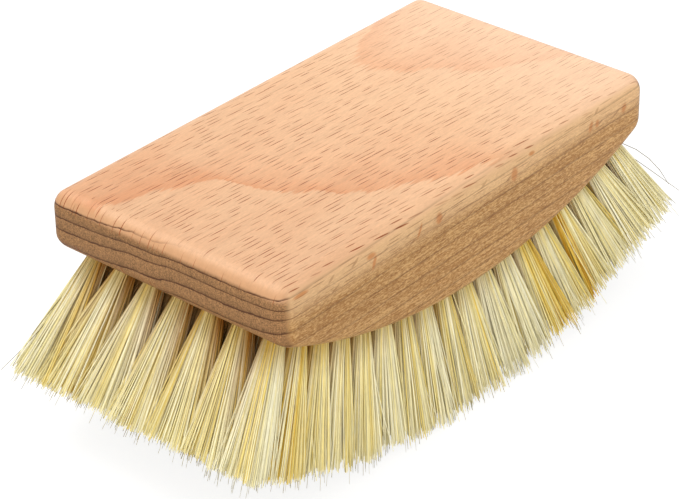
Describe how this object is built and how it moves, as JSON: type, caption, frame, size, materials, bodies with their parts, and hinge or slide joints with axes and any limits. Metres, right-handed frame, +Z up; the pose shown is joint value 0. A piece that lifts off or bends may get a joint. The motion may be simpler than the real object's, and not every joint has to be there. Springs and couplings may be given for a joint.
{
  "type": "banneton brush",
  "caption": "Hand brush for proofing baskets: a rounded beech block with a flat top and a rocker underside, filled with splayed rows of stiff pale plant-fibre tufts.",
  "frame": {"origin": "on the surface that the bristle tips stand on, below the middle of the block", "axes": "+X along the block, +Y across it, +Z up through its flat top"},
  "size_m": [0.164, 0.0772, 0.061],
  "materials": {
    "beech": "fine sanded and lightly oiled, satin",
    "fibre": "stiff pale plant fibre with a slight sheen"
  },
  "bodies": {
    "root": {"block": "beech", "tuft_row_01": "fibre", "tuft_row_02": "fibre", "tuft_row_03": "fibre", "tuft_row_04": "fibre", "tuft_row_05": "fibre", "tuft_row_06": "fibre", "tuft_row_07": "fibre", "tuft_row_08": "fibre", "tuft_row_09": "fibre", "tuft_row_10": "fibre", "tuft_row_11": "fibre", "tuft_row_12": "fibre", "tuft_row_13": "fibre", "tuft_row_14": "fibre", "tuft_row_15": "fibre", "tuft_row_16": "fibre", "tuft_row_17": "fibre", "tuft_row_18": "fibre"}
  },
  "joints": []
}
